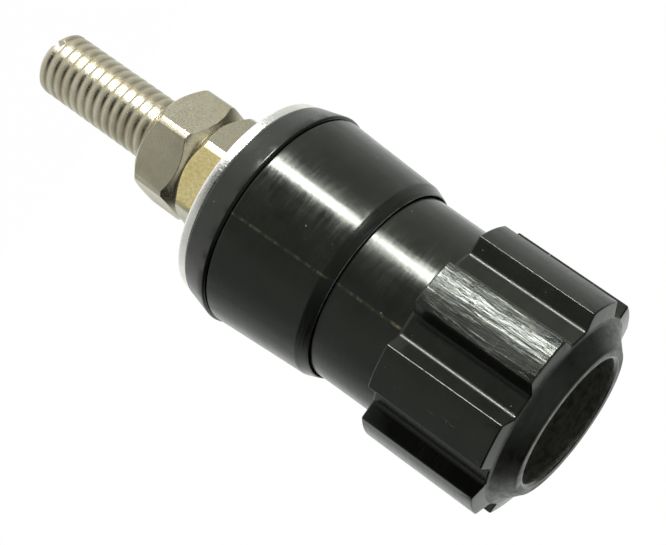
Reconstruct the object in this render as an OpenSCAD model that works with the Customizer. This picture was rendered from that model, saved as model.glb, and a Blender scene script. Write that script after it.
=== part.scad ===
// Insulated binding post for a panel: an M6 stud clamps the post to the panel, and a
// ribbed knob screws down on a wire, a spade lug or a 4 mm plug socket.
// Z = 0 is the seat on the panel, +Z points out of the panel towards the knob.

/* [Stud] */
// Major diameter of the stud's thread
stud_d = 6; // [5:0.5:7]
// Pitch of the stud's thread
stud_pitch = 1; // [0.5:0.05:1.5]
// Depth of the stud's thread
stud_thread = 0.4; // [0.2:0.05:0.6]
// Width of a thread's crest
stud_crest = 0.4; // [0.1:0.05:0.4]
// Turns of thread shown behind the outer nut
stud_turns = 15; // [8:1:24]
// Length of the stud behind the panel seat
stud_len = 28; // [22:0.5:40]
// Chamfer on the stud's end
stud_chamfer = 0.55; // [0.2:0.05:0.9]
// Width of the screwdriver slot
slot_w = 0.8; // [0.5:0.1:1.2]
// Depth of the screwdriver slot
slot_depth = 1.1; // [0.5:0.1:2]
// Turn of the screwdriver slot
slot_turn = -114; // [-180:1:180]

/* [Spindle] */
// Diameter of the threaded spindle under the knob
spindle_d = 8; // [7:0.25:8.5]
// Pitch of the spindle's thread
spindle_pitch = 1; // [0.5:0.05:1.5]
// Height of the spindle's end above the panel seat
spindle_top = 23; // [21:0.25:23.5]
// Chamfer on the spindle's end
spindle_chamfer = 0.5; // [0.2:0.05:0.8]
// Diameter of the plug socket
socket_d = 4; // [3:0.1:4.4]
// Depth of the plug socket
socket_depth = 17; // [15:0.5:17.5]
// Countersink round the plug socket
socket_sink = 0.4; // [0.1:0.05:0.6]
// Diameter of the wire hole
wire_d = 3.2; // [1.5:0.1:3.6]
// Gap from the collar's front edge to the wire hole
wire_gap = 0.35; // [0.2:0.05:0.6]

/* [Seat flange] */
// Diameter of the flange that the wire is clamped against
seat_d = 13; // [12:0.25:13.6]
// Thickness of the flange
seat_t = 1.6; // [1:0.1:2.5]
// Width across the flange's two flats
seat_flats = 11; // [10:0.25:11.5]
// Depth of the flange's face below the collar's front edge
seat_drop = 0.85; // [0.6:0.05:1.2]

/* [Front collar] */
// Radius of the collar at the panel
collar_r_rear = 10; // [9.6:0.05:11]
// Taper of the collar from the panel to its front, on the radius
collar_taper = 0.67; // [0.4:0.01:0.9]
// Length of the collar
collar_len = 10.25; // [9:0.25:12]
// Thickness of the collar's lip round the knob's neck
collar_lip = 0.5; // [0.4:0.05:0.8]
// Width of the chamfer at the collar's front edge, on the radius
collar_chamfer = 0.4; // [0.2:0.05:0.4]
// Length of the front chamfer along the axis
collar_chamfer_len = 0.65; // [0.4:0.05:0.9]
// Rounding of the collar's edge at the panel
collar_edge_r = 0.25; // [0.1:0.05:0.5]

/* [Rear bush] */
// Distance that the bush stands out past the collar
bush_proud = 0.2; // [0:0.05:0.5]
// Taper of the bush from the panel to the washer, on the radius
bush_taper = 0.55; // [0:0.05:0.8]
// Thickness of the bush's flange
bush_t = 2.75; // [2:0.25:4]
// Rounding of the bush's edges
bush_edge_r = 0.25; // [0.1:0.05:0.5]
// Diameter of the spigot that passes through the panel
spigot_d = 10; // [9:0.25:12]
// Length of the spigot
spigot_len = 4; // [2:0.25:5]
// Distance from the axis to the spigot's flat
spigot_flat = 4.4; // [4:0.1:4.4]

/* [Washer and nuts] */
// Distance from the bush's rear edge in to the flat washer's rim
washer_inset = 0.25; // [0:0.05:1]
// Thickness of the flat washer
washer_t = 1; // [0.6:0.1:1.6]
// Rounding of the flat washer's rim
washer_edge_r = 0.2; // [0.1:0.05:0.25]
// Width of the nuts across flats
nut_flats = 10; // [9:0.1:11]
// Width of the nuts across corners, where the corners are cut
nut_corners = 11.2; // [10.6:0.1:11.4]
// Height of one nut
nut_h = 4.9; // [3:0.1:6]
// Diameter of the flat ring on a nut's end faces
nut_face_d = 9.4; // [9:0.1:9.8]
// Turn of the inner nut
inner_nut_turn = -104.5; // [-180:0.5:180]
// Turn of the outer nut
outer_nut_turn = -99.5; // [-180:0.5:180]

/* [Knob] */
// Height of the knob's front rim above the panel seat
knob_top = 29.5; // [29:0.25:33]
// Height of the ribs' rear faces above the panel seat
rib_start = 16.9; // [15:0.25:19]
// Number of ribs
ribs = 8; // [5:1:10]
// Width of a rib's crest, in degrees
rib_crest = 23; // [14:1:28]
// Width of a rib's foot, in degrees
rib_foot = 33; // [30:1:38]
// Turn of the first rib
rib_turn = -105; // [-180:0.5:180]
// Distance that the ribs' rear ends stand out past the collar
rib_proud = 0.15; // [0:0.05:0.5]
// Taper of the ribs from their rear to their front, on the radius
rib_taper = 0.1; // [0:0.05:0.3]
// Depth of the grooves between the ribs
groove_depth = 1.4; // [1.1:0.05:1.5]
// Radius of the fillet along a rib's foot
rib_fillet = 0.55; // [0.3:0.05:0.6]
// Taper of the neck from the collar to the ribs, on the radius
neck_taper = 0.12; // [0:0.01:0.2]
// Distance from the front rim back to the ribs' front edge
nose_crest = 1.75; // [1.4:0.05:2.2]
// Distance from the grooves in to the nose's foot
nose_inset = 0.35; // [0.1:0.05:0.6]
// Distance from the front rim back to the nose's foot
nose_foot = 1.45; // [1.2:0.05:1.7]
// Outer radius of the front rim
rim_r = 7; // [6.8:0.05:7.6]
// Distance from the front rim back to the nose's top
rim_drop = 0.35; // [0.2:0.05:0.5]
// Radius of the mouth
mouth_r = 5.85; // [5.6:0.05:6.1]
// Taper of the mouth down to its floor, on the radius
mouth_draft = 0.2; // [0:0.05:0.4]
// Depth of the mouth
mouth_depth = 7.5; // [7:0.25:8]

/* [Insert and pressure washer] */
// Diameter of the moulded-in insert
insert_d = 12.4; // [12:0.1:12.8]
// Thickness of plastic between the insert and the mouth's floor
insert_cover = 1; // [0.6:0.1:1.5]
// Width of the groove that holds the insert
insert_groove_w = 2; // [1:0.25:3]
// Depth of the groove that holds the insert
insert_groove = 0.5; // [0.3:0.05:0.8]
// Diameter of the pressure washer
press_d = 13; // [12.5:0.1:13.4]
// Thickness of the pressure washer
press_t = 1.2; // [1:0.1:1.5]
// Diameter of the journal that the pressure washer turns on
press_journal_d = 9.6; // [9.5:0.1:10]
// Width of the lip that holds the pressure washer
press_lip = 0.4; // [0.3:0.05:0.5]
// Thickness of that lip
press_lip_t = 0.4; // [0.3:0.05:0.5]

/* [Clearances] */
// Radial clearance of the threads
thread_gap = 0.09; // [0.07:0.01:0.1]
// Radial clearance of sliding and running fits
fit_gap = 0.05; // [0.02:0.01:0.08]
// Radial clearance of plain holes on the stud
hole_gap = 0.15; // [0.1:0.05:0.3]
// End clearance inside recesses
end_gap = 0.15; // [0.1:0.05:0.3]
// Radial gap between the knob's neck and the collar
neck_gap = 0.15; // [0.1:0.01:0.2]

/* [Hidden] */
$fn = 96;

// colours
nickel = [0.66, 0.64, 0.58];
brass = [0.78, 0.72, 0.46];
black_plastic = [0.13, 0.13, 0.12];

// a cutter reaches this far past what it cuts
over = 1;
// steps along a small arc
arc_steps = 6;

stud_r = stud_d / 2;
spindle_r = spindle_d / 2;
seat_z = collar_len - seat_drop;
wire_z = collar_len + wire_gap + wire_d / 2;
socket_r = socket_d / 2;

collar_r_front = collar_r_rear - collar_taper;
recess_r = collar_r_front - collar_lip;
neck_r_rear = recess_r - neck_gap;
neck_r_front = neck_r_rear - neck_taper;
neck_end = seat_z + end_gap;

bush_r_front = collar_r_rear + bush_proud;
bush_r_rear = bush_r_front - bush_taper;
spigot_r = spigot_d / 2;
spigot_recess = spigot_len + end_gap;

washer_r = bush_r_rear - washer_inset;
washer_z = -bush_t - washer_t;
inner_nut_z = washer_z - nut_h;
outer_nut_z = inner_nut_z - nut_h;
nut_face_r = nut_face_d / 2;
nut_corner_r = nut_corners / 2;
nut_bore_r = stud_r + thread_gap;
// the thread's countersink is as wide as the thread is deep
nut_sink = 0.4 * stud_pitch;

rib_r_rear = collar_r_rear + rib_proud;
rib_r_front = rib_r_rear - rib_taper;
groove_r = rib_r_rear - groove_depth;
nose_foot_r = groove_r - nose_inset;
rib_front = knob_top - nose_crest;
mouth_floor = knob_top - mouth_depth;
floor_r = mouth_r - mouth_draft;
insert_top = mouth_floor - insert_cover;
insert_r = insert_d / 2;
insert_bore_r = spindle_r + thread_gap;
insert_sink = 0.4 * spindle_pitch;
journal_r = press_journal_d / 2;
lip_r = journal_r + press_lip;
lip_z = seat_z + end_gap;
press_top = seat_z + press_t;
insert_z = press_top;
insert_mid = (insert_z + insert_top) / 2;
rib_pitch = 360 / ribs;

// points of an arc about [cx, cy], from angle a0 to a1
function arc(cx, cy, r, a0, a1) =
    [for (i = [0 : arc_steps])
        let (a = a0 + (a1 - a0) * i / arc_steps)
        [cx + r * cos(a), cy + r * sin(a)]];

// a point at radius r and angle a
function polar(r, a) = [r * cos(a), r * sin(a)];

// unit vector along v
function unit(v) = v / norm(v);

// the section of one turn of thread, with the start of its crest at z
function thread_turn(z) =
    [[stud_r, z],
        [stud_r, z + stud_crest],
        [stud_r - stud_thread, z + (stud_crest + stud_pitch) / 2]];

// a ring or disc with its axis on Z
module ring(r_out, r_in, z0, z1) {
    translate([0, 0, z0])
        difference() {
            cylinder(r = r_out, h = z1 - z0);
            translate([0, 0, -over])
                cylinder(r = r_in, h = z1 - z0 + 2 * over);
        }
}

// a plain hole on Z from z0 to z1
module bore(r, z0, z1) {
    translate([0, 0, z0])
        cylinder(r = r, h = z1 - z0);
}

// a countersink that opens upwards at z
module sink_up(r, depth, z) {
    translate([0, 0, z - depth])
        cylinder(r1 = r, r2 = r + depth + over, h = depth + over);
}

// a countersink that opens downwards at z
module sink_down(r, depth, z) {
    translate([0, 0, z - over])
        cylinder(r1 = r + depth + over, r2 = r, h = depth + over);
}

// the space on one side of a plane parallel to the axis
module beyond_flat(distance, z0, z1) {
    side = 4 * collar_r_rear;
    translate([distance, -side / 2, z0])
        cube([side, side, z1 - z0]);
}

// Turned post: slotted M6 stud, keyed seat flange and bored spindle in one piece
module terminal_post() {
    color(nickel)
        difference() {
            union() {
                rotate_extrude()
                    polygon(concat([[0, -stud_len],
                            [stud_r - stud_chamfer, -stud_len]],
                        [for (i = [0 : stud_turns - 1])
                            each thread_turn(-stud_len + stud_chamfer + i * stud_pitch)],
                        [[stud_r, seat_z - seat_t / 2],
                            [0, seat_z - seat_t / 2]]));
                seat_flange(0, seat_z - seat_t, seat_z);
                rotate_extrude()
                    polygon([[0, seat_z - seat_t / 2],
                        [spindle_r, seat_z - seat_t / 2],
                        [spindle_r, spindle_top - spindle_chamfer],
                        [spindle_r - spindle_chamfer, spindle_top],
                        [0, spindle_top]]);
            }
            bore(socket_r, spindle_top - socket_depth, spindle_top + over);
            sink_up(socket_r, socket_sink, spindle_top);
            translate([-spindle_d, 0, wire_z])
                rotate([0, 90, 0])
                    cylinder(d = wire_d, h = 2 * spindle_d);
            rotate([0, 0, slot_turn])
                translate([-stud_d, -slot_w / 2, -stud_len - over])
                    cube([2 * stud_d, slot_w, slot_depth + over]);
        }
}

// Round flange with two flats, grown all round by gap
module seat_flange(gap, z0, z1) {
    difference() {
        bore(seat_d / 2 + gap, z0, z1);
        for (turn = [0, 180])
            rotate([0, 0, turn])
                beyond_flat(seat_flats / 2 + gap, z0 - over, z1 + over);
    }
}

// Moulded front insulator that the post is keyed into
module front_collar() {
    color(black_plastic)
        difference() {
            rotate_extrude()
                polygon(concat([[0, 0]],
                    arc(collar_r_rear - collar_edge_r, collar_edge_r, collar_edge_r, -90, 0),
                    [[collar_r_front, collar_len - collar_chamfer_len],
                        [collar_r_front - collar_chamfer, collar_len],
                        [0, collar_len]]));
            bore(recess_r, seat_z, collar_len + over);
            seat_flange(fit_gap, seat_z - seat_t, collar_len);
            bore(stud_r + hole_gap, -over, seat_z);
            spigot(fit_gap, -over, spigot_recess);
        }
}

// Round spigot with one flat, grown all round by gap
module spigot(gap, z0, z1) {
    difference() {
        bore(spigot_r + gap, z0, z1);
        beyond_flat(spigot_flat + gap, z0 - over, z1 + over);
    }
}

// Moulded rear insulator: conical flange and a keyed spigot through the panel
module rear_bush() {
    color(black_plastic)
        difference() {
            union() {
                rotate_extrude()
                    polygon(concat([[0, -bush_t]],
                        arc(bush_r_rear - bush_edge_r, -bush_t + bush_edge_r, bush_edge_r, -90, 0),
                        arc(bush_r_front - bush_edge_r, -bush_edge_r, bush_edge_r, 0, 90),
                        [[0, 0]]));
                spigot(0, -bush_t / 2, spigot_len);
            }
            bore(stud_r + hole_gap, -bush_t - over, spigot_len + over);
        }
}

// Flat washer under the inner nut
module flat_washer() {
    color(nickel)
        difference() {
            rotate_extrude()
                polygon(concat([[0, washer_z]],
                    arc(washer_r - washer_edge_r, washer_z + washer_edge_r, washer_edge_r, -90, 0),
                    arc(washer_r - washer_edge_r, -bush_t - washer_edge_r, washer_edge_r, 0, 90),
                    [[0, -bush_t]]));
            bore(stud_r + hole_gap, washer_z - over, -bush_t + over);
        }
}

// Hexagon nut chamfered on both faces, with its lower face at z
module nut(z, turn) {
    slope = nut_corner_r - nut_face_r;
    difference() {
        intersection() {
            translate([0, 0, z])
                rotate([0, 0, turn])
                    cylinder(r = nut_flats / 2 / cos(30), h = nut_h, $fn = 6);
            rotate_extrude()
                polygon([[0, z],
                    [nut_face_r, z],
                    [nut_corner_r, z + slope],
                    [nut_corner_r, z + nut_h - slope],
                    [nut_face_r, z + nut_h],
                    [0, z + nut_h]]);
        }
        bore(nut_bore_r, z - over, z + nut_h + over);
        sink_up(nut_bore_r, nut_sink, z + nut_h);
        sink_down(nut_bore_r, nut_sink, z);
    }
}

// Nut that clamps the post to the panel
module inner_nut() {
    color(brass)
        nut(inner_nut_z, inner_nut_turn);
}

// Nut that clamps the rear connection
module outer_nut() {
    color(nickel)
        nut(outer_nut_z, outer_nut_turn);
}

// Loose washer that presses the wire and is held on the insert's lip
module pressure_washer() {
    color(nickel)
        difference() {
            bore(press_d / 2, seat_z, press_top);
            bore(journal_r + fit_gap, seat_z - over, press_top + over);
            bore(lip_r + fit_gap, seat_z - over, lip_z + press_lip_t + fit_gap);
        }
}

// Threaded brass insert moulded into the knob
module knob_insert() {
    color(brass)
        difference() {
            union() {
                bore(lip_r, lip_z, lip_z + press_lip_t);
                bore(journal_r, lip_z, insert_mid);
                insert_barrel();
            }
            bore(insert_bore_r, lip_z - over, insert_top + over);
            sink_up(insert_bore_r, insert_sink, insert_top);
            sink_down(insert_bore_r, insert_sink, lip_z);
        }
}

// Outside of the insert where the plastic grips it
module insert_barrel() {
    difference() {
        bore(insert_r, insert_z, insert_top);
        ring(insert_r + over, insert_r - insert_groove,
            insert_mid - insert_groove_w / 2, insert_mid + insert_groove_w / 2);
    }
}

// One flank of a rib, from the groove's circle out past the crest: the arc of the fillet
// along its foot, then the flank's end; side is 1 or -1
function flank(side) =
    let (
        crest = side * rib_crest / 2,
        foot = polar(groove_r, side * rib_foot / 2),
        along = unit(polar(rib_r_rear, crest) - foot),
        out = side * [-along[1], along[0]],
        base = foot + out * rib_fillet,
        b = base * along,
        centre = base + along * (sqrt(b * b - base * base + pow(groove_r + rib_fillet, 2)) - b),
        reach = (rib_r_rear + over - groove_r) / (along * polar(1, crest)))
    concat(arc(centre[0], centre[1], rib_fillet,
            atan2(-centre[1], -centre[0]), atan2(-out[1], -out[0])),
        [foot + along * reach]);

// the same points in the opposite order
function reversed(points) = [for (i = [len(points) - 1 : -1 : 0]) points[i]];

// Moulded knob: neck, ribbed grip, conical nose and open mouth
module knob() {
    color(black_plastic)
        difference() {
            union() {
                rotate_extrude()
                    polygon([[0, neck_end],
                        [neck_r_rear - end_gap, neck_end],
                        [neck_r_rear, neck_end + end_gap],
                        [neck_r_front, rib_start],
                        [neck_r_front, rib_start + over],
                        [0, rib_start + over]]);
                ribbed_grip();
            }
            knob_inside();
        }
}

// Grip with ribs, cut by the envelope of crests, front face and nose
module ribbed_grip() {
    intersection() {
        translate([0, 0, rib_start])
            linear_extrude(height = knob_top - rib_start)
                rib_section();
        rotate_extrude()
            polygon(concat([[0, rib_start],
                    [rib_r_rear, rib_start],
                    [rib_r_front, rib_front],
                    [nose_foot_r, knob_top - nose_foot]],
                arc(rim_r - rim_drop, knob_top - rim_drop, rim_drop, 30, 90),
                [[0, knob_top]]));
    }
}

// Cross-section of the ribbed grip
module rib_section() {
    circle(r = groove_r);
    for (i = [0 : ribs - 1])
        rotate([0, 0, rib_turn + i * rib_pitch])
            polygon(concat([[0, 0]], flank(-1), reversed(flank(1))));
}

// Mouth, spindle hole and the insert's seat, all on the axis
module knob_inside() {
    lip = mouth_r + rim_drop;
    rotate_extrude()
        polygon(concat([[0, knob_top + over],
                [lip, knob_top + over]],
            arc(lip, knob_top - rim_drop, rim_drop, 90, 180),
            [[floor_r, mouth_floor],
                [0, mouth_floor]]));
    bore(spindle_r + hole_gap, insert_top - over, mouth_floor + over);
    insert_barrel();
    bore(insert_r - insert_groove, insert_z, insert_top);
    bore(press_d / 2 + neck_gap, neck_end - over, insert_z);
}

terminal_post();
front_collar();
rear_bush();
flat_washer();
inner_nut();
outer_nut();
pressure_washer();
knob_insert();
knob();
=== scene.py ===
"""Visual model of an insulated binding post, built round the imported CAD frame.

Every piece is made in metres in the frame's own axes: the post lies along Z, with the
panel seat at Z = 0 and the knob's mouth towards +Z. Materials measure in millimetres.
"""

import math
from collections import namedtuple

import bmesh
import bpy
from mathutils import Matrix, Quaternion, Vector


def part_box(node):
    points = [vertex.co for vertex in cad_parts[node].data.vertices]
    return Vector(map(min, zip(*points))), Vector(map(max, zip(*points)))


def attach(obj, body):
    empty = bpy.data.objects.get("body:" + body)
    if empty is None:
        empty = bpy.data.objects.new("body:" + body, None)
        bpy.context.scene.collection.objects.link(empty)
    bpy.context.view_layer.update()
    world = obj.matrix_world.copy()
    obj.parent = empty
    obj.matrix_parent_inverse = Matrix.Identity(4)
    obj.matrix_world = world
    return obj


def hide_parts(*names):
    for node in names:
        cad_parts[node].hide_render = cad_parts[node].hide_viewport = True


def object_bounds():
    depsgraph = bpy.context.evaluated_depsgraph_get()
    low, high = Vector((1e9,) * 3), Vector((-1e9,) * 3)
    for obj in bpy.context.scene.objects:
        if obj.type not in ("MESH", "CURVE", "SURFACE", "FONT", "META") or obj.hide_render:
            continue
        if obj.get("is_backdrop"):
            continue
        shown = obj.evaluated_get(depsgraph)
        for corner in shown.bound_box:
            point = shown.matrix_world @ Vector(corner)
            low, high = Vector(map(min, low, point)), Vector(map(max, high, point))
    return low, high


bl_info = {
    "name": "Binding Post",
    "version": (1, 0, 0),
    "blender": (4, 5, 0),
    "location": "3D View > Sidebar > Binding Post",
    "description": "Builds the threaded post, nuts, insulators and knob of a panel binding post",
    "category": "Add Mesh",
}

MM = 0.001
MERGE = 1e-7

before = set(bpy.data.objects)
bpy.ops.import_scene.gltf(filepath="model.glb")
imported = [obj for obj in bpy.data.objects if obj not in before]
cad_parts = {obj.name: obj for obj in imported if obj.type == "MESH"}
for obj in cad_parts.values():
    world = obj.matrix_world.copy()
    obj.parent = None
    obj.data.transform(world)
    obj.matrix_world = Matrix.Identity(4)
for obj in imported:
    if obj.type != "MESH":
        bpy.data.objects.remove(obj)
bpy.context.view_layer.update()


# ---------------------------------------------------------------- settings


class PostSettings(bpy.types.PropertyGroup):
    seat_height: bpy.props.FloatProperty(
        name="Seat height", description="Height of the flange's front face", default=9.4 * MM, unit="LENGTH"
    )
    flange_height: bpy.props.FloatProperty(
        name="Flange height", description="Thickness of the seat flange", default=1.6 * MM, unit="LENGTH"
    )
    stud_radius: bpy.props.FloatProperty(
        name="Stud radius", description="Outer radius of the stud's thread", default=3.0 * MM, unit="LENGTH"
    )
    stud_end: bpy.props.FloatProperty(
        name="Stud end", description="Height of the stud's hidden end below the flange", default=7.7 * MM,
        unit="LENGTH",
    )
    stud_pitch: bpy.props.FloatProperty(
        name="Stud pitch", description="Pitch of the stud's thread", default=1.0 * MM, unit="LENGTH"
    )
    stud_depth: bpy.props.FloatProperty(
        name="Stud thread depth", description="Depth of the stud's thread", default=0.07 * MM, unit="LENGTH"
    )
    stud_crest: bpy.props.FloatProperty(
        name="Stud crest", description="Share of the stud's pitch taken by its worn crest", default=0.5,
        subtype="FACTOR",
    )
    stud_chamfer: bpy.props.FloatProperty(
        name="Stud chamfer", description="Chamfer of the stud's free end", default=0.55 * MM, unit="LENGTH"
    )
    slot_width: bpy.props.FloatProperty(
        name="Slot width", description="Width of the screwdriver slot", default=0.8 * MM, unit="LENGTH"
    )
    slot_depth: bpy.props.FloatProperty(
        name="Slot depth", description="Depth of the screwdriver slot", default=1.1 * MM, unit="LENGTH"
    )
    slot_turn: bpy.props.FloatProperty(
        name="Slot turn", description="Turn of the slot about the post", default=math.radians(-114),
        subtype="ANGLE",
    )
    spindle_radius: bpy.props.FloatProperty(
        name="Spindle radius", description="Outer radius of the spindle's thread", default=4.0 * MM,
        unit="LENGTH",
    )
    spindle_overlap: bpy.props.FloatProperty(
        name="Spindle overlap", description="How far the spindle starts inside the flange",
        default=0.5 * MM, unit="LENGTH",
    )
    spindle_pitch: bpy.props.FloatProperty(
        name="Spindle pitch", description="Pitch of the spindle's thread", default=1.0 * MM, unit="LENGTH"
    )
    spindle_depth: bpy.props.FloatProperty(
        name="Spindle thread depth", description="Depth of the spindle's thread", default=0.4 * MM,
        unit="LENGTH",
    )
    spindle_crest: bpy.props.FloatProperty(
        name="Spindle crest", description="Share of the spindle's pitch taken by its rounded crest",
        default=0.7, subtype="FACTOR",
    )
    spindle_chamfer: bpy.props.FloatProperty(
        name="Spindle chamfer", description="Chamfer of the spindle's free end", default=0.5 * MM,
        unit="LENGTH",
    )
    socket_radius: bpy.props.FloatProperty(
        name="Socket radius", description="Radius of the plug socket", default=2.0 * MM, unit="LENGTH"
    )
    socket_floor: bpy.props.FloatProperty(
        name="Socket floor", description="Height to which the spindle is bored", default=6 * MM,
        unit="LENGTH",
    )
    socket_chamfer: bpy.props.FloatProperty(
        name="Socket chamfer", description="Chamfer of the socket's mouth", default=0.4 * MM, unit="LENGTH"
    )
    wire_radius: bpy.props.FloatProperty(
        name="Wire hole radius", description="Radius of the cross hole for a wire", default=1.6 * MM,
        unit="LENGTH",
    )
    wire_height: bpy.props.FloatProperty(
        name="Wire hole height", description="Height of the cross hole above the panel seat",
        default=12.2 * MM, unit="LENGTH",
    )


class EdgeSettings(bpy.types.PropertyGroup):
    nut_edge: bpy.props.FloatProperty(
        name="Nut edges", description="Rounding of the nuts' edges", default=0.035 * MM, unit="LENGTH"
    )
    washer_edge: bpy.props.FloatProperty(
        name="Washer edges", description="Rounding of the washers' and insert's edges", default=0.05 * MM,
        unit="LENGTH",
    )
    knob_edge: bpy.props.FloatProperty(
        name="Knob edges", description="Rounding of the knob's moulded edges", default=0.13 * MM,
        unit="LENGTH",
    )
    insulator_edge: bpy.props.FloatProperty(
        name="Insulator edges", description="Rounding of the collar's and bush's edges", default=0.08 * MM,
        unit="LENGTH",
    )
    lip_height: bpy.props.FloatProperty(
        name="Lip height", description="Height where the collar's front chamfer starts", default=9.6 * MM,
        unit="LENGTH",
    )
    lip_extra: bpy.props.FloatProperty(
        name="Lip extra", description="How much further back the collar's worn chamfer reaches",
        default=0.4 * MM, unit="LENGTH",
    )
    lip_slope: bpy.props.FloatProperty(
        name="Lip slope", description="Slope of the collar's tapered side", default=0.065
    )


class FinishSettings(bpy.types.PropertyGroup):
    plastic: bpy.props.FloatVectorProperty(
        name="Plastic", description="Colour of the black plastic", subtype="COLOR", size=4,
        default=(0.0078, 0.0088, 0.0072, 1),
    )
    scuffed: bpy.props.FloatVectorProperty(
        name="Scuffed plastic", description="Colour of scratched plastic", subtype="COLOR", size=4,
        default=(0.05, 0.05, 0.046, 1),
    )
    dust: bpy.props.FloatVectorProperty(
        name="Dust", description="Colour of dust on the plastic", subtype="COLOR", size=4,
        default=(0.2, 0.195, 0.18, 1),
    )
    seam: bpy.props.FloatVectorProperty(
        name="Seam", description="Colour of the moulding seam", subtype="COLOR", size=4,
        default=(0.1, 0.088, 0.055, 1),
    )
    seam_turn: bpy.props.FloatProperty(
        name="Seam turn", description="Place of the moulding seam round the collar", subtype="ANGLE",
        default=math.radians(-78.5),
    )
    worn_turn: bpy.props.FloatProperty(
        name="Worn turn", description="Direction that the knob's most scratched rib faces", subtype="ANGLE",
        default=math.radians(-105),
    )
    nickel: bpy.props.FloatVectorProperty(
        name="Nickel", description="Colour of the dull nickel plating", subtype="COLOR", size=4,
        default=(0.48, 0.45, 0.34, 1),
    )
    bright: bpy.props.FloatVectorProperty(
        name="Bright nickel", description="Colour of the bright nickel plating", subtype="COLOR", size=4,
        default=(0.95, 0.95, 0.92, 1),
    )
    brass: bpy.props.FloatVectorProperty(
        name="Brass", description="Colour of bare brass", subtype="COLOR", size=4,
        default=(0.55, 0.44, 0.16, 1),
    )
    pale_brass: bpy.props.FloatVectorProperty(
        name="Pale brass", description="Colour of the flecks in bare brass", subtype="COLOR", size=4,
        default=(0.75, 0.66, 0.36, 1),
    )
    bare_turn: bpy.props.FloatProperty(
        name="Bare turn", description="Direction that the inner nut's bare flat faces", subtype="ANGLE",
        default=math.radians(-74.5),
    )


class StageSettings(bpy.types.PropertyGroup):
    camera_place: bpy.props.FloatVectorProperty(
        name="Camera place", description="Place of the camera", unit="LENGTH",
        default=(1.21 * MM, -121.06 * MM, 56.45 * MM),
    )
    elevation: bpy.props.FloatProperty(
        name="Elevation", description="Camera's angle above the level", default=math.radians(22.615),
        subtype="ANGLE",
    )
    roll: bpy.props.FloatProperty(
        name="Roll", description="Turn of the camera about its view", default=math.radians(125.545),
        subtype="ANGLE",
    )
    lens: bpy.props.FloatProperty(name="Lens", description="Focal length in millimetres", default=85.57)
    lamp_direction: bpy.props.FloatVectorProperty(
        name="Lamp direction", description="Direction from the post to the strip lamp",
        default=(-0.575, -0.725, -0.38),
    )
    lamp_distance: bpy.props.FloatProperty(
        name="Lamp distance", description="Distance of the strip lamp", default=300 * MM, unit="LENGTH"
    )
    lamp_width: bpy.props.FloatProperty(
        name="Lamp width", description="Width of the strip lamp", default=34 * MM, unit="LENGTH"
    )
    lamp_length: bpy.props.FloatProperty(
        name="Lamp length", description="Length of the strip lamp", default=340 * MM, unit="LENGTH"
    )
    lamp_power: bpy.props.FloatProperty(
        name="Lamp power", description="Power of the strip lamp in watts", default=2.4
    )
    floor_drop: bpy.props.FloatProperty(
        name="Floor drop", description="Distance from the stud's end down to the floor", default=150 * MM,
        unit="LENGTH",
    )
    floor_radius: bpy.props.FloatProperty(
        name="Floor radius", description="Radius of the round floor", default=250 * MM, unit="LENGTH"
    )


def settings(name):
    return getattr(bpy.context.scene, name)


# ---------------------------------------------------------------- mesh helpers


def lathe(bm, profile, steps):
    """Spins a half-section, given as (radius, height) pairs, round Z."""
    verts = [bm.verts.new((r, 0, z)) for r, z in profile]
    edges = [bm.edges.new((a, b)) for a, b in zip(verts, verts[1:])]
    bmesh.ops.spin(
        bm, geom=verts + edges, cent=(0, 0, 0), axis=(0, 0, 1), angle=math.tau, steps=steps, use_merge=True
    )
    bmesh.ops.remove_doubles(bm, verts=bm.verts, dist=MERGE)


def thread_profile(radius, depth, pitch, crest, low, high):
    """One side of a thread with rounded crests, from low to high.

    A side is a row of places and heights, both as shares: first over half the crest, then
    over the flank that leads to the root.
    """
    over_crest = ((0.0, 1.0), (0.2, 0.99), (0.38, 0.93), (0.5, 0.8))
    over_flank = ((0.3, 0.42), (0.6, 0.08), (0.8, 0.0))
    flank = (1 - crest) / 2
    side = [(crest * t, h) for t, h in over_crest]
    side += [(crest * 0.5 + flank * t, h) for t, h in over_flank]
    turn = side + [(1 - t, h) for t, h in reversed(side[1:])]
    points = []
    for i in range(round((high - low) / pitch)):
        points += [(radius - depth * (1 - h), low + (i + t) * pitch) for t, h in turn]
    return points


def cut_flat(bm, height, side):
    """Cuts a mesh off above (side 1) or below (side -1) a height and returns the open rim."""
    cut = bmesh.ops.bisect_plane(
        bm, geom=bm.verts[:] + bm.edges[:] + bm.faces[:], dist=1e-8, plane_co=(0, 0, height),
        plane_no=(0, 0, side), clear_outer=True,
    )
    return [e for e in cut["geom_cut"] if isinstance(e, bmesh.types.BMEdge)]


def threaded_rod(radius, depth, pitch, crest, low, high, steps=64):
    """A right-handed threaded rod between two flat ends, as a new bmesh."""
    bm = bmesh.new()
    profile = thread_profile(radius, depth, pitch, crest, low - 2 * pitch, high + pitch)
    verts = [bm.verts.new((r, 0, z)) for r, z in profile]
    edges = [bm.edges.new((a, b)) for a, b in zip(verts, verts[1:])]
    bmesh.ops.spin(
        bm, geom=verts + edges, cent=(0, 0, 0), axis=(0, 0, 1), dvec=(0, 0, pitch / steps),
        angle=math.tau, steps=steps,
    )
    bmesh.ops.remove_doubles(bm, verts=bm.verts, dist=10 * MERGE)
    for height, side in ((low, -1), (high, 1)):
        bmesh.ops.contextual_create(bm, geom=cut_flat(bm, height, side))
    bmesh.ops.recalc_face_normals(bm, faces=bm.faces)
    return bm


def chamfer_end(bm, radius, end, chamfer):
    """Pulls the thread in under a 45 degree cone at the end of a rod."""
    outward = -1 if end < 0 else 1
    for v in bm.verts:
        room = radius - chamfer + (end - v.co.z) * outward
        r = math.hypot(v.co.x, v.co.y)
        if r > room > 0:
            v.co.x *= room / r
            v.co.y *= room / r


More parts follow.
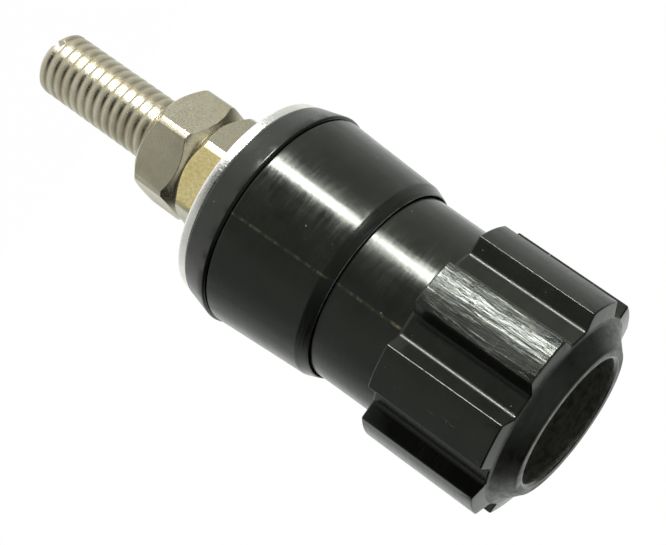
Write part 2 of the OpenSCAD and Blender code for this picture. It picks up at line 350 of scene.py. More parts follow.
def piece_from(bm, name, sharp=30, clean=True):
    """Turns a bmesh into a shown object whose edges are sharp past an angle in degrees."""
    if clean:
        bmesh.ops.remove_doubles(bm, verts=bm.verts, dist=MERGE)
        bmesh.ops.recalc_face_normals(bm, faces=bm.faces)
    mesh = bpy.data.meshes.new(name)
    bm.to_mesh(mesh)
    bm.free()
    mesh.shade_smooth()
    mesh.set_sharp_from_angle(angle=math.radians(sharp))
    piece = bpy.data.objects.new(name, mesh)
    bpy.context.scene.collection.objects.link(piece)
    return piece


def discard(piece):
    """Removes an object and its mesh."""
    mesh = piece.data
    bpy.data.objects.remove(piece)
    bpy.data.meshes.remove(mesh)


def merged_copy(node):
    """A bmesh of a CAD node with its loose triangles merged into whole faces."""
    bm = bmesh.new()
    bm.from_mesh(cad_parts[node].data)
    bmesh.ops.remove_doubles(bm, verts=bm.verts, dist=10 * MERGE)
    bmesh.ops.dissolve_limit(
        bm, angle_limit=math.radians(0.6), verts=bm.verts, edges=bm.edges, use_dissolve_boundaries=False
    )
    return bm


def round_edges(piece, width, segments=2, angle=28):
    """Rounds a piece's edges past an angle in degrees and keeps its wide faces flat.

    The width isn't clamped, because the CAD's shortest edges would clamp all of it.
    """
    bevel = piece.modifiers.new("Rounded edges", "BEVEL")
    bevel.width = width
    bevel.segments = segments
    bevel.limit_method = "ANGLE"
    bevel.angle_limit = math.radians(angle)
    bevel.use_clamp_overlap = False
    shading = piece.modifiers.new("Clean shading", "WEIGHTED_NORMAL")
    shading.keep_sharp = True


def deepen_chamfer(bm, height, extra, slope):
    """Carries a chamfer's lower edge, found by its height, further down the tapered side."""
    tolerance = 0.03 * MM
    bore_limit = 9 * MM
    for v in bm.verts:
        r = math.hypot(v.co.x, v.co.y)
        if abs(v.co.z - height) < tolerance and r > bore_limit:
            v.co.x *= 1 + extra * slope / r
            v.co.y *= 1 + extra * slope / r
            v.co.z -= extra


def cut_with(piece, cutter):
    """Cuts a solid out of a piece for good and removes the cutter."""
    cut = piece.modifiers.new("Cut", "BOOLEAN")
    cut.operation = "DIFFERENCE"
    cut.solver = "EXACT"
    cut.object = cutter
    bpy.context.view_layer.update()
    shaped = bpy.data.meshes.new_from_object(piece.evaluated_get(bpy.context.evaluated_depsgraph_get()))
    piece.modifiers.remove(cut)
    old, piece.data = piece.data, shaped
    shaped.name = piece.name
    bpy.data.meshes.remove(old)
    discard(cutter)


def place(piece, body, node, material):
    """Hands a finished piece to the frame in place of a CAD node."""
    piece.data.materials.clear()
    piece.data.materials.append(material)
    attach(piece, body)
    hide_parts(node)


# ---------------------------------------------------------------- node helpers


def new_group(name, inputs, outputs):
    """A node group of number sockets: inputs with their defaults, and outputs by name."""
    group = bpy.data.node_groups.new(name, "ShaderNodeTree")
    for title, value in inputs.items():
        socket = group.interface.new_socket(title, in_out="INPUT", socket_type="NodeSocketFloat")
        socket.default_value = value
    for title in outputs:
        group.interface.new_socket(title, in_out="OUTPUT", socket_type="NodeSocketFloat")
    return group, group.nodes.new("NodeGroupInput"), group.nodes.new("NodeGroupOutput")


def group_node(tree, name, **values):
    """Uses a node group; a value's name is the input's, with an underscore for a space."""
    node = add(tree, "ShaderNodeGroup", node_tree=bpy.data.node_groups[name])
    for key, value in values.items():
        node.inputs[key.replace("_", " ")].default_value = value
    return node


def add(tree, kind, **fields):
    node = tree.nodes.new(kind)
    for key, value in fields.items():
        setattr(node, key, value)
    return node


def join(tree, *pairs):
    for source, target in pairs:
        tree.links.new(source, target)


def feed(tree, socket, value):
    """Gives a socket a link or a plain value."""
    if isinstance(value, bpy.types.NodeSocket):
        tree.links.new(value, socket)
    else:
        socket.default_value = value


def maths(tree, operation, first, second=None, clamp=False):
    node = add(tree, "ShaderNodeMath", operation=operation, use_clamp=clamp)
    feed(tree, node.inputs[0], first)
    if second is not None:
        feed(tree, node.inputs[1], second)
    return node.outputs[0]


def plus(tree, value, field, share, clamp=False):
    """The value plus a share of a field."""
    return maths(tree, "ADD", value, maths(tree, "MULTIPLY", field, share), clamp)


def ramp(tree, value, low, high, out_low=0.0, out_high=1.0):
    node = add(tree, "ShaderNodeMapRange")
    for socket, number in zip(node.inputs, (value, low, high, out_low, out_high)):
        feed(tree, socket, number)
    return node.outputs[0]


def colour_mix(tree, factor, first, second):
    mix = add(tree, "ShaderNodeMix", data_type="RGBA")
    for socket, value in ((mix.inputs[0], factor), (mix.inputs[6], first), (mix.inputs[7], second)):
        feed(tree, socket, value)
    return mix.outputs[2]


def mapped(tree, scale=(1, 1, 1)):
    """Object coordinates in millimetres, stretched by scale."""
    coordinates = add(tree, "ShaderNodeTexCoord")
    mapping = add(tree, "ShaderNodeMapping")
    mapping.inputs["Scale"].default_value = [s / MM for s in scale]
    tree.links.new(coordinates.outputs["Object"], mapping.inputs["Vector"])
    return mapping.outputs["Vector"]


def along(tree, direction):
    """Distance along a direction from the axis, in millimetres."""
    node = add(tree, "ShaderNodeVectorMath", operation="DOT_PRODUCT")
    node.inputs[1].default_value = direction
    join(tree, (mapped(tree), node.inputs[0]))
    return node.outputs["Value"]


def from_axis(tree):
    """Distance from the axis, in millimetres."""
    node = add(tree, "ShaderNodeVectorMath", operation="LENGTH")
    join(tree, (mapped(tree, (1, 1, 0)), node.inputs[0]))
    return node.outputs["Value"]


def split_place(tree):
    """X, Y and Z in millimetres."""
    node = add(tree, "ShaderNodeSeparateXYZ")
    join(tree, (mapped(tree), node.inputs[0]))
    return node.outputs


def noise(tree, scale, detail, roughness):
    """Noise with features of about one millimetre, packed closer along each axis by scale."""
    node = add(tree, "ShaderNodeTexNoise")
    node.inputs["Scale"].default_value = 1.0
    node.inputs["Detail"].default_value = detail
    node.inputs["Roughness"].default_value = roughness
    join(tree, (mapped(tree, scale), node.inputs["Vector"]))
    return node.outputs["Fac"]


def flat_direction(turn):
    """A level unit vector at a turn from X."""
    return (math.cos(turn), math.sin(turn), 0)


# ---------------------------------------------------------------- effects as node groups


def make_scuffs():
    """Scratches that run along the post outside a radius, as a mask and a height."""
    tree, gin, gout = new_group(
        "Lengthwise scuffs", {"Amount": 0.5, "Inner radius": 0.0}, ("Mask", "Height")
    )
    inner = gin.outputs["Inner radius"]
    outside = ramp(tree, from_axis(tree), inner, maths(tree, "ADD", inner, 0.12))
    fine = noise(tree, (15.0, 15.0, 0.8), 3.0, 0.75)
    long = noise(tree, (1.6, 1.6, 0.16), 2.0, 0.5)
    cutoff = maths(tree, "SUBTRACT", 0.75, maths(tree, "MULTIPLY", gin.outputs["Amount"], 0.21))
    lines = ramp(tree, fine, cutoff, maths(tree, "ADD", cutoff, 0.07))
    patches = maths(tree, "MULTIPLY", ramp(tree, long, 0.38, 0.55), outside)
    mask = maths(tree, "MULTIPLY", lines, patches, clamp=True)
    join(tree, (mask, gout.inputs["Mask"]), (maths(tree, "MULTIPLY", mask, -1.0), gout.inputs["Height"]))


def make_ripples():
    """Turned or moulded ripples round the axis, as a height and a mask of the fine ones."""
    tree, gin, gout = new_group("Ring ripples", {"Coarse": 0.5, "Fine": 0.5}, ("Height", "Fine lines"))
    wide = noise(tree, (0.12, 0.12, 0.8), 2.0, 0.5)
    thin = noise(tree, (0.4, 0.4, 4.5), 3.0, 0.6)
    total = plus(tree, maths(tree, "MULTIPLY", wide, gin.outputs["Coarse"]), thin, gin.outputs["Fine"])
    join(tree, (total, gout.inputs["Height"]), (ramp(tree, thin, 0.35, 0.65), gout.inputs["Fine lines"]))


def make_dust():
    """Scattered specks of dust, as a mask."""
    tree, gin, gout = new_group("Dust specks", {"Amount": 0.3}, ("Mask",))
    cells = add(tree, "ShaderNodeTexVoronoi", feature="F1")
    cells.inputs["Scale"].default_value = 1.0
    shade = add(tree, "ShaderNodeSeparateColor")
    join(
        tree, (mapped(tree, (1.9, 1.9, 1.9)), cells.inputs["Vector"]),
        (cells.outputs["Color"], shade.inputs[0]),
    )
    some = maths(tree, "LESS_THAN", shade.outputs[0], maths(tree, "MULTIPLY", gin.outputs["Amount"], 0.5))
    size = maths(tree, "MULTIPLY", shade.outputs[1], 0.13)
    dot = ramp(tree, cells.outputs["Distance"], size, maths(tree, "ADD", size, 0.05), 1.0, 0.0)
    join(tree, (maths(tree, "MULTIPLY", dot, some, clamp=True), gout.inputs["Mask"]))


def make_mottle():
    """Slow and fine unevenness of a surface, both about one half."""
    tree, gin, gout = new_group("Mottle", {"Slow": 1.0, "Fine": 1.0}, ("Slow", "Fine"))
    slow = noise(tree, (0.35, 0.35, 0.35), 3.0, 0.55)
    fine = noise(tree, (7.0, 7.0, 7.0), 3.0, 0.6)
    for title, field in (("Slow", slow), ("Fine", fine)):
        centred = maths(tree, "MULTIPLY", maths(tree, "SUBTRACT", field, 0.5), gin.outputs[title])
        join(tree, (maths(tree, "ADD", centred, 0.5), gout.inputs[title]))


def make_seam():
    """A thin, broken moulding seam along the axis and below a height, as a mask."""
    tree, gin, gout = new_group("Moulding seam", {"Turn": 0.0, "Half width": 0.05, "Top": 100.0}, ("Mask",))
    x, y, z = split_place(tree)
    cosine = maths(tree, "COSINE", gin.outputs["Turn"])
    sine = maths(tree, "SINE", gin.outputs["Turn"])
    across = maths(tree, "SUBTRACT", maths(tree, "MULTIPLY", x, sine), maths(tree, "MULTIPLY", y, cosine))
    outward = plus(tree, maths(tree, "MULTIPLY", x, cosine), y, sine)
    line = ramp(tree, maths(tree, "ABSOLUTE", across), 0.0, gin.outputs["Half width"], 1.0, 0.0)
    shown = maths(
        tree, "MULTIPLY", maths(tree, "GREATER_THAN", outward, 0.0),
        maths(tree, "LESS_THAN", z, gin.outputs["Top"]),
    )
    broken = ramp(tree, noise(tree, (0.5, 0.5, 1.4), 4.0, 0.7), 0.46, 0.6, 0.08, 1.0)
    line = maths(tree, "MULTIPLY", line, broken)
    join(tree, (maths(tree, "MULTIPLY", line, shown, clamp=True), gout.inputs["Mask"]))


def make_band():
    """A ring between two radii and two heights, made uneven by noise, as a mask."""
    tree, gin, gout = new_group(
        "Ring band", {"Low radius": 0.0, "High radius": 0.0, "Low height": -100.0, "High height": 100.0},
        ("Mask",),
    )
    radius = from_axis(tree)
    height = split_place(tree)["Z"]
    inside = maths(tree, "LESS_THAN", radius, gin.outputs["High radius"])
    outside = maths(tree, "GREATER_THAN", radius, gin.outputs["Low radius"])
    over = maths(tree, "GREATER_THAN", height, gin.outputs["Low height"])
    under = maths(tree, "LESS_THAN", height, gin.outputs["High height"])
    uneven = ramp(tree, noise(tree, (1.2, 1.2, 3.0), 3.0, 0.6), 0.35, 0.6, 0.45, 1.0)
    mask = maths(tree, "MULTIPLY", inside, outside)
    mask = maths(tree, "MULTIPLY", mask, maths(tree, "MULTIPLY", over, under))
    join(tree, (maths(tree, "MULTIPLY", mask, uneven, clamp=True), gout.inputs["Mask"]))


# ---------------------------------------------------------------- materials


# A ring between two radii and two heights in mm, and how much of an effect it has
Band = namedtuple("Band", "low_radius high_radius low_height high_height amount")
# The most scratched side: its direction, where it starts and is full in mm, and the extra scratches
WornSide = namedtuple("WornSide", "turn near far extra")
# A height or radius that no piece reaches, in mm
BEYOND = 100.0


def new_material(name):
    material = bpy.data.materials.new(name)
    material.use_nodes = True
    tree = material.node_tree
    return material, tree, tree.nodes["Principled BSDF"]


def bump(tree, shader, height, distance):
    node = add(tree, "ShaderNodeBump")
    node.inputs["Strength"].default_value = 1.0
    node.inputs["Distance"].default_value = distance
    join(tree, (height, node.inputs["Height"]), (node.outputs[0], shader.inputs["Normal"]))


def band_mask(tree, band):
    node = group_node(
        tree, "Ring band", Low_radius=band.low_radius, High_radius=band.high_radius,
        Low_height=band.low_height, High_height=band.high_height,
    )
    return node.outputs["Mask"]


def plastic_material(
    name, gloss, coarse, fine, dust, scuffing=0.0, scuffs_from=0.0, worn_side=None, seam=0.0,
    seam_top=BEYOND, painted_light_band=None, matt=(),
):
    """Black moulded plastic.

    gloss is its base roughness, coarse and fine are its ripples, and scuffs lie outside a
    radius in mm. greyed is a band of painted light, painted grey by its amount, and matt
    holds bands whose amount is extra roughness.
    """
    finish = settings("post_finish")
    material, tree, shader = new_material(name)
    shader.inputs["IOR"].default_value = 1.42
    shader.inputs["Specular Tint"].default_value = (0.95, 1.0, 0.9, 1)
    scuffs = group_node(tree, "Lengthwise scuffs", Amount=scuffing, Inner_radius=scuffs_from)
    if worn_side:
        reach = along(tree, flat_direction(worn_side.turn))
        amount = ramp(tree, reach, worn_side.near, worn_side.far, scuffing, scuffing + worn_side.extra)
        join(tree, (amount, scuffs.inputs["Amount"]))
    ripples = group_node(tree, "Ring ripples", Coarse=coarse, Fine=fine)
    specks = group_node(tree, "Dust specks", Amount=dust).outputs["Mask"]
    mottle = group_node(tree, "Mottle")
    line = group_node(tree, "Moulding seam", Turn=finish.seam_turn, Half_width=0.17, Top=seam_top)
    seam_mask = maths(tree, "MULTIPLY", line.outputs["Mask"], seam)

    base = tuple(finish.plastic)
    lighter = tuple(c * 1.3 for c in base[:3]) + (1,)
    colour = colour_mix(tree, ramp(tree, mottle.outputs["Slow"], 0.35, 0.65), base, lighter)
    scratched = maths(tree, "MULTIPLY", scuffs.outputs["Mask"], 0.12)
    colour = colour_mix(tree, scratched, colour, tuple(finish.scuffed))
    colour = colour_mix(tree, maths(tree, "MULTIPLY", specks, 0.4), colour, tuple(finish.dust))
    colour = colour_mix(tree, seam_mask, colour, tuple(finish.seam))
    # Painted light: the band is painted grey to stand in for light falling there
    if painted_light_band:
        grey = (painted_light_band.amount, painted_light_band.amount, painted_light_band.amount * 0.9, 1)
        colour = colour_mix(tree, band_mask(tree, painted_light_band), colour, grey)
    join(tree, (colour, shader.inputs["Base Color"]))

    rough = ramp(tree, mottle.outputs["Slow"], 0.3, 0.7, gloss - 0.04, gloss + 0.05)
    rough = plus(tree, rough, mottle.outputs["Fine"], 0.06)
    rough = plus(tree, rough, ripples.outputs["Fine lines"], 0.085 * fine)
    rough = plus(tree, rough, scuffs.outputs["Mask"], 0.03)
    rough = plus(tree, rough, specks, 0.4, clamp=True)
    for band in matt:
        rough = plus(tree, rough, band_mask(tree, band), band.amount)
    join(tree, (rough, shader.inputs["Roughness"]))

    height = plus(tree, ripples.outputs["Height"], scuffs.outputs["Height"], 0.75)
    height = plus(tree, height, mottle.outputs["Fine"], 0.1)
    height = plus(tree, height, seam_mask, 0.6)
    bump(tree, shader, height, 0.02 * MM)


def metal_material(name, base, rough, tarnish, wear, ring, root_shade_and_dirt=None):
    """Plated or bare metal with turned rings, tarnish, fine wear and perhaps painted shade with dirt at its
    root.
    """
    material, tree, shader = new_material(name)
    shader.inputs["Metallic"].default_value = 1.0
    ripples = group_node(tree, "Ring ripples", Coarse=0.2 * ring, Fine=ring)
    mottle = group_node(tree, "Mottle")
    scuffs = group_node(tree, "Lengthwise scuffs", Amount=wear)
    specks = group_node(tree, "Dust specks", Amount=wear * 0.6).outputs["Mask"]

    dull = (base[0] * 0.62, base[1] * 0.57, base[2] * 0.48, 1)
    patch = ramp(tree, mottle.outputs["Slow"], 0.42, 0.68, 0.0, tarnish)
    colour = colour_mix(tree, patch, tuple(base), dull)
    colour = colour_mix(tree, maths(tree, "MULTIPLY", specks, 0.6), colour, dull)
    # Painted shade with dirt: what lies near the axis, the thread's roots most of all, is darkened towards
    # brown
    if root_shade_and_dirt:
        shade_and_grime = (base[0] * 0.55, base[1] * 0.48, base[2] * 0.38, 1)
        shade_and_dirt = maths(tree, "MULTIPLY", band_mask(tree, root_shade_and_dirt), root_shade_and_dirt.amount)
        colour = colour_mix(tree, shade_and_dirt, colour, shade_and_grime)
    join(tree, (colour, shader.inputs["Base Color"]))

    value = ramp(tree, mottle.outputs["Fine"], 0.3, 0.7, rough - 0.06, rough + 0.08)
    value = plus(tree, value, scuffs.outputs["Mask"], 0.12)
    value = plus(tree, value, patch, 0.15, clamp=True)
    join(tree, (value, shader.inputs["Roughness"]))

    height = plus(tree, ripples.outputs["Height"], mottle.outputs["Fine"], 0.5)
    height = plus(tree, height, scuffs.outputs["Height"], 0.3)
    bump(tree, shader, height, 0.012 * MM)
    return material


def worn_nut_material(name):
    """Nickel that gives way to rough bare brass on the flat that faces one direction."""
    finish = settings("post_finish")
    material = metal_material(name, finish.nickel, rough=0.27, tarnish=0.5, wear=0.4, ring=0.2)
    tree = material.node_tree
    shader = tree.nodes["Principled BSDF"]
    plated = shader.inputs["Base Color"].links[0].from_socket
    rough = shader.inputs["Roughness"].links[0].from_socket
    reach = along(tree, flat_direction(finish.bare_turn))
    bare = ramp(tree, plus(tree, reach, noise(tree, (1.6, 1.6, 1.0), 5.0, 0.6), 0.6), 5.08, 5.25)
    grain = ramp(tree, noise(tree, (6.0, 6.0, 3.0), 4.0, 0.7), 0.35, 0.65)
    brass = colour_mix(tree, grain, tuple(finish.brass), tuple(finish.pale_brass))
    join(
        tree,
        (colour_mix(tree, bare, plated, brass), shader.inputs["Base Color"]),
        (plus(tree, rough, bare, 0.12, clamp=True), shader.inputs["Roughness"]),
        (ramp(tree, bare, 0.0, 1.0, 1.0, 0.75), shader.inputs["Metallic"]),
    )


# ---------------------------------------------------------------- operators


class BINDINGPOST_OT_finishes(bpy.types.Operator):
    """Make the shared effects and the materials"""

    bl_idname = "bindingpost.finishes"
    bl_label = "Make finishes"

    def execute(self, context):
        finish = settings("post_finish")
        for make in (make_scuffs, make_ripples, make_dust, make_mottle, make_seam, make_band):
            make()
        # Painted light: the black plastic inside the knob's mouth is painted grey to stand in for the light
        # seen there
        mouth = Band(0.0, 5.95, 15.0, BEYOND, 0.36)
        rib_roots = Band(8.757, 8.95, 17.0, 27.7, 0.15)
        nose = Band(6.2, 8.7, 26.9, BEYOND, 0.22)
        # Painted highlight: a thin grey ring on the collar's lip stands in for the lip's glint
        collar_lip = Band(8.7, 8.97, 10.2, 10.3, 0.13)
        # Painted shade with dirt: everything of the post nearer the axis than the stud's crests is darkened
        # towards brown
        thread_root = Band(0.5, 2.96, -BEYOND, BEYOND, 0.3)
        plastic_material(
            "Knob plastic", gloss=0.13, coarse=0.4, fine=0.9, dust=0.12, scuffing=0.35, scuffs_from=9.85,
            seam=1.0, seam_top=16.7, worn_side=WornSide(finish.worn_turn, 8.8, 9.5, 1.35), painted_light_band=mouth,
            matt=(rib_roots, nose),
        )
        plastic_material(
            "Collar plastic", gloss=0.12, coarse=0.6, fine=0.9, dust=0.04, seam=0.55, painted_light_band=collar_lip
        )
        plastic_material("Bush plastic", gloss=0.2, coarse=0.2, fine=0.3, dust=0.05)
        metal_material(
            "Stud nickel", finish.nickel, rough=0.26, tarnish=0.6, wear=0.3, ring=0.15,
            root_shade_and_dirt=thread_root,
        )
        metal_material("Nut nickel", finish.nickel, rough=0.27, tarnish=0.45, wear=0.4, ring=0.2)
        metal_material("Bright washer", finish.bright, rough=0.24, tarnish=0.35, wear=0.4, ring=0.4)
        metal_material("Turned brass", finish.brass, rough=0.28, tarnish=0.3, wear=0.2, ring=0.6)
        worn_nut_material("Worn nut")
        return {"FINISHED"}


def seat_flange(size):
    """The CAD's seat flange alone, with a thin skin of what lies above and below it."""
    skin = 0.02 * MM
    flange = merged_copy("terminal_post")
    for height, side in ((size.seat_height + skin, 1), (size.seat_height - size.flange_height - skin, -1)):
        bmesh.ops.triangle_fill(flange, edges=cut_flat(flange, height, side), use_beauty=True)
    return piece_from(flange, "post")


def slotted_stud(size, low):
    """The threaded stud with its chamfered and slotted free end."""
    stud = threaded_rod(
        size.stud_radius, size.stud_depth, size.stud_pitch, size.stud_crest, low, size.stud_end
    )
    chamfer_end(stud, size.stud_radius, low, size.stud_chamfer)
    stud = piece_from(stud, "stud_part", 50)
    slot = bmesh.new()
    bmesh.ops.create_cube(slot, size=1.0)
    extent = (4 * size.stud_radius, size.slot_width, 2 * size.slot_depth)
    bmesh.ops.scale(slot, vec=extent, verts=slot.verts)
    bmesh.ops.rotate(slot, cent=(0, 0, 0), matrix=Matrix.Rotation(size.slot_turn, 3, "Z"), verts=slot.verts)
    bmesh.ops.translate(slot, vec=(0, 0, low), verts=slot.verts)
    cut_with(stud, piece_from(slot, "slot_cutter"))
    return stud


def bored_spindle(size, high):
    """The threaded spindle with its plug socket and the cross hole for a wire."""
    spindle = threaded_rod(
        size.spindle_radius, size.spindle_depth, size.spindle_pitch, size.spindle_crest,
        size.seat_height - size.spindle_overlap, high,
    )
    chamfer_end(spindle, size.spindle_radius, high, size.spindle_chamfer)
    spindle = piece_from(spindle, "spindle_part", 50)

    over = 1 * MM
    bore, flare = size.socket_radius, size.socket_chamfer
    socket = bmesh.new()
    profile = [
        (0, size.socket_floor), (bore, size.socket_floor), (bore, high - flare),
        (bore + flare + over, high + over), (0, high + over),
    ]
    lathe(socket, profile, 64)
    cut_with(spindle, piece_from(socket, "socket_cutter"))

    wire = bmesh.new()
    bmesh.ops.create_cone(
        wire, cap_ends=True, segments=48, radius1=size.wire_radius, radius2=size.wire_radius,
        depth=5 * size.spindle_radius,
    )
    bmesh.ops.rotate(wire, cent=(0, 0, 0), matrix=Matrix.Rotation(math.pi / 2, 3, "Y"), verts=wire.verts)
    bmesh.ops.translate(wire, vec=(0, 0, size.wire_height), verts=wire.verts)
    cut_with(spindle, piece_from(wire, "wire_cutter"))
    return spindle


class BINDINGPOST_OT_post(bpy.types.Operator):
    """Turn the slotted, threaded and bored post"""

    bl_idname = "bindingpost.post"
    bl_label = "Make post"

    def execute(self, context):
        size = settings("post_sizes")
        low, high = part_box("terminal_post")
        whole = bmesh.new()
        for part in (seat_flange(size), slotted_stud(size, low.z), bored_spindle(size, high.z)):
            whole.from_mesh(part.data)
            discard(part)
        post = piece_from(whole, "threaded_post", 40, clean=False)
        place(post, "post", "terminal_post", bpy.data.materials["Stud nickel"])
        return {"FINISHED"}


class BINDINGPOST_OT_insulators(bpy.types.Operator):
    """Mould the front collar and the rear bush"""

    bl_idname = "bindingpost.insulators"
    bl_label = "Make insulators"

    def execute(self, context):
        edges = settings("post_edges")
        ring = merged_copy("front_collar")
        deepen_chamfer(ring, edges.lip_height, edges.lip_extra, edges.lip_slope)
        chamfer_angle = 17
        collar = piece_from(ring, "moulded_collar", chamfer_angle)
        round_edges(collar, edges.insulator_edge, angle=chamfer_angle)
        place(collar, "post", "front_collar", bpy.data.materials["Collar plastic"])
        bush = piece_from(merged_copy("rear_bush"), "moulded_bush")
        round_edges(bush, edges.insulator_edge)
        place(bush, "rear_stack", "rear_bush", bpy.data.materials["Bush plastic"])
        return {"FINISHED"}


class BINDINGPOST_OT_washers(bpy.types.Operator):
    """Stamp the flat washer and turn the pressure washer"""

    bl_idname = "bindingpost.washers"
    bl_label = "Make washers"

    def execute(self, context):
        edges = settings("post_edges")
        for node, name, body in (
            ("flat_washer", "stamped_washer", "rear_stack"),
            ("pressure_washer", "turned_pressure_washer", "pressure"),
        ):
            washer = piece_from(merged_copy(node), name)
            round_edges(washer, edges.washer_edge)
            place(washer, body, node, bpy.data.materials["Bright washer"])
        return {"FINISHED"}


class BINDINGPOST_OT_nuts(bpy.types.Operator):
    """Cut the two hexagon nuts"""

    bl_idname = "bindingpost.nuts"
    bl_label = "Make nuts"

    def execute(self, context):
        edges = settings("post_edges")
        for node, name, body, finish in (
            ("inner_nut", "hex_nut_inner", "clamp_nut", "Worn nut"),
            ("outer_nut", "hex_nut_outer", "terminal_nut", "Nut nickel"),
        ):
            nut = piece_from(merged_copy(node), name)
            round_edges(nut, edges.nut_edge, segments=3, angle=20)
            place(nut, body, node, bpy.data.materials[finish])
        return {"FINISHED"}


class BINDINGPOST_OT_knob(bpy.types.Operator):
    """Mould the ribbed knob and turn its insert"""

    bl_idname = "bindingpost.knob"
    bl_label = "Make knob"

    def execute(self, context):
        edges = settings("post_edges")
        grip = piece_from(merged_copy("knob"), "ribbed_knob")
        round_edges(grip, edges.knob_edge, segments=3, angle=24)
        place(grip, "cap", "knob", bpy.data.materials["Knob plastic"])
        insert = piece_from(merged_copy("knob_insert"), "turned_insert")
        round_edges(insert, edges.washer_edge)
        place(insert, "cap", "knob_insert", bpy.data.materials["Turned brass"])
        return {"FINISHED"}


def make_floor(stage, height):
    """A round floor that is lit as a plain surface but looks white to the camera and in reflections."""
    floor = bmesh.new()
    bmesh.ops.create_circle(floor, cap_ends=True, segments=96, radius=stage.floor_radius)
    bmesh.ops.translate(floor, vec=(0, 0, height), verts=floor.verts)
    floor = piece_from(floor, "floor")
    floor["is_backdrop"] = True
    pale, tree, shader = new_material("Pale floor")
    shader.inputs["Base Color"].default_value = (0.8, 0.8, 0.8, 1)
    shader.inputs["Roughness"].default_value = 0.9
    glow = add(tree, "ShaderNodeEmission")
    path = add(tree, "ShaderNodeLightPath")
    seen = maths(tree, "MAXIMUM", path.outputs["Is Camera Ray"], path.outputs["Is Glossy Ray"])
    mix = add(tree, "ShaderNodeMixShader")
    join(
        tree, (maths(tree, "MULTIPLY", seen, 0.99), mix.inputs[0]), (shader.outputs[0], mix.inputs[1]),
        (glow.outputs[0], mix.inputs[2]), (mix.outputs[0], tree.nodes["Material Output"].inputs[0]),
    )
    floor.data.materials.append(pale)


def studio_shade(tree):
    """Brightness of the room by direction.

    It is dark in front and above the level, pale behind, below and overhead, and has a soft
    glow beside the strip lamp, whose place is the turn from -Y towards -X.
    """
    sky = add(tree, "ShaderNodeTexCoord")
    split = add(tree, "ShaderNodeSeparateXYZ")
    front = add(tree, "ShaderNodeVectorMath", operation="DOT_PRODUCT")
    front.inputs[1].default_value = Vector((-0.03, -0.96, 0.25)).normalized()
    join(tree, (sky.outputs["Generated"], split.inputs[0]), (sky.outputs["Generated"], front.inputs[0]))
    x, y, z = split.outputs

    facing = ramp(tree, front.outputs["Value"], math.cos(math.radians(62)), math.cos(math.radians(30)))
    above = ramp(tree, z, 0.0, 0.18)
    before = ramp(tree, y, 0.68, 0.5)
    dark = maths(tree, "MAXIMUM", facing, maths(tree, "MULTIPLY", above, before))
    below_top = ramp(tree, z, 0.86, 0.96, 1.0, 0.0)
    turn = maths(tree, "ARCTAN2", maths(tree, "MULTIPLY", x, -1.0), maths(tree, "MULTIPLY", y, -1.0))
    pale = ramp(tree, maths(tree, "ABSOLUTE", turn), math.radians(80), math.radians(150), 0.5, 1.0)
    dark_level = 0.02
    shade = ramp(tree, maths(tree, "MULTIPLY", dark, below_top), 0.0, 1.0, pale, dark_level)

    glow_level = 12.0
    rise = ramp(tree, turn, math.radians(34), math.radians(37))
    fall = maths(tree, "POWER", ramp(tree, turn, math.radians(38), math.radians(55), 1.0, 0.0), 2.0)
    low = ramp(tree, z, 0.1, -0.1)
    glow = maths(tree, "MULTIPLY", maths(tree, "MULTIPLY", fall, rise), low)
    return plus(tree, shade, glow, glow_level)


def make_room(scene):
    """The room that lights the post, which the camera sees as plain white."""
    world = bpy.data.worlds.new("Soft studio")
    scene.world = world
    world.use_nodes = True
    tree = world.node_tree
    room = tree.nodes["Background"]
    room.inputs["Color"].default_value = (0.97, 1.0, 0.96, 1)
    white = add(tree, "ShaderNodeBackground")
    white.inputs["Color"].default_value = (1, 1, 1, 1)
    path = add(tree, "ShaderNodeLightPath")
    mix = add(tree, "ShaderNodeMixShader")
    join(
        tree, (studio_shade(tree), room.inputs["Strength"]), (path.outputs["Is Camera Ray"], mix.inputs[0]),
        (room.outputs[0], mix.inputs[1]), (white.outputs[0], mix.inputs[2]),
        (mix.outputs[0], tree.nodes["World Output"].inputs[0]),
    )


def make_strip_lamp(scene, stage):
    """A narrow area lamp that faces the post, with its length along the post as near as it can."""
    lamp = bpy.data.lights.new("Strip lamp", "AREA")
    lamp.shape = "RECTANGLE"
    lamp.size = stage.lamp_width
    lamp.size_y = stage.lamp_length
    lamp.energy = stage.lamp_power
    holder = bpy.data.objects.new("Strip lamp", lamp)
    away = Vector(stage.lamp_direction).normalized()
    side = Vector((0, 0, 1)).cross(away).normalized()
    turned = Matrix((side, away.cross(side), away)).transposed().to_4x4()
    holder.matrix_world = Matrix.Translation(away * stage.lamp_distance) @ turned
    scene.collection.objects.link(holder)


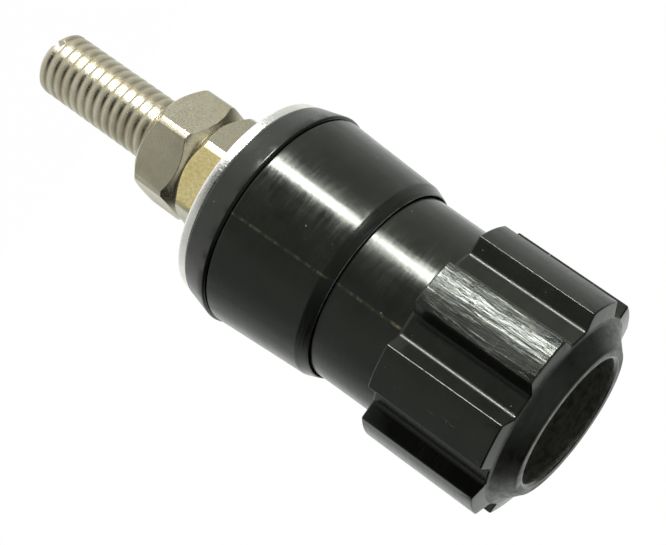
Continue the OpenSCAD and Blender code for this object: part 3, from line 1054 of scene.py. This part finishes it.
def make_camera(scene, stage):
    data = bpy.data.cameras.new("Camera")
    data.lens = stage.lens
    data.sensor_width = 36
    data.sensor_fit = "HORIZONTAL"
    data.clip_start = 5 * MM
    camera = bpy.data.objects.new("Camera", data)
    camera.location = stage.camera_place
    ahead = Vector((0, math.cos(stage.elevation), -math.sin(stage.elevation)))
    camera.rotation_mode = "QUATERNION"
    camera.rotation_quaternion = ahead.to_track_quat("-Z", "Y") @ Quaternion((0, 0, 1), stage.roll)
    scene.collection.objects.link(camera)
    scene.camera = camera


class BINDINGPOST_OT_stage(bpy.types.Operator):
    """Set up the floor, the room, the strip lamp and the camera"""

    bl_idname = "bindingpost.stage"
    bl_label = "Make stage"

    def execute(self, context):
        scene = context.scene
        stage = settings("post_stage")
        scene.view_settings.view_transform = "Standard"
        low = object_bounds()[0]
        make_floor(stage, low.z - stage.floor_drop)
        make_room(scene)
        make_strip_lamp(scene, stage)
        make_camera(scene, stage)
        return {"FINISHED"}


class BINDINGPOST_PT_panel(bpy.types.Panel):
    """Buttons and sizes of the binding post"""

    bl_idname = "BINDINGPOST_PT_panel"
    bl_label = "Binding Post"
    bl_space_type = "VIEW_3D"
    bl_region_type = "UI"
    bl_category = "Binding Post"

    def draw(self, context):
        for operator in OPERATORS:
            self.layout.operator(operator.bl_idname)
        for name in SETTINGS:
            group = settings(name)
            box = self.layout.box()
            for key in group.__annotations__:
                box.prop(group, key)


SETTINGS = {
    "post_sizes": PostSettings,
    "post_edges": EdgeSettings,
    "post_finish": FinishSettings,
    "post_stage": StageSettings,
}
OPERATORS = (
    BINDINGPOST_OT_finishes,
    BINDINGPOST_OT_post,
    BINDINGPOST_OT_insulators,
    BINDINGPOST_OT_washers,
    BINDINGPOST_OT_nuts,
    BINDINGPOST_OT_knob,
    BINDINGPOST_OT_stage,
)


def register():
    for cls in (*SETTINGS.values(), *OPERATORS, BINDINGPOST_PT_panel):
        bpy.utils.register_class(cls)
    for name, cls in SETTINGS.items():
        setattr(bpy.types.Scene, name, bpy.props.PointerProperty(type=cls))


def unregister():
    for name in SETTINGS:
        delattr(bpy.types.Scene, name)
    for cls in (BINDINGPOST_PT_panel, *reversed(OPERATORS), *SETTINGS.values()):
        bpy.utils.unregister_class(cls)


def main():
    register()
    for operator in OPERATORS:
        group, name = operator.bl_idname.split(".")
        getattr(getattr(bpy.ops, group), name)()


if __name__ == "__main__":
    main()
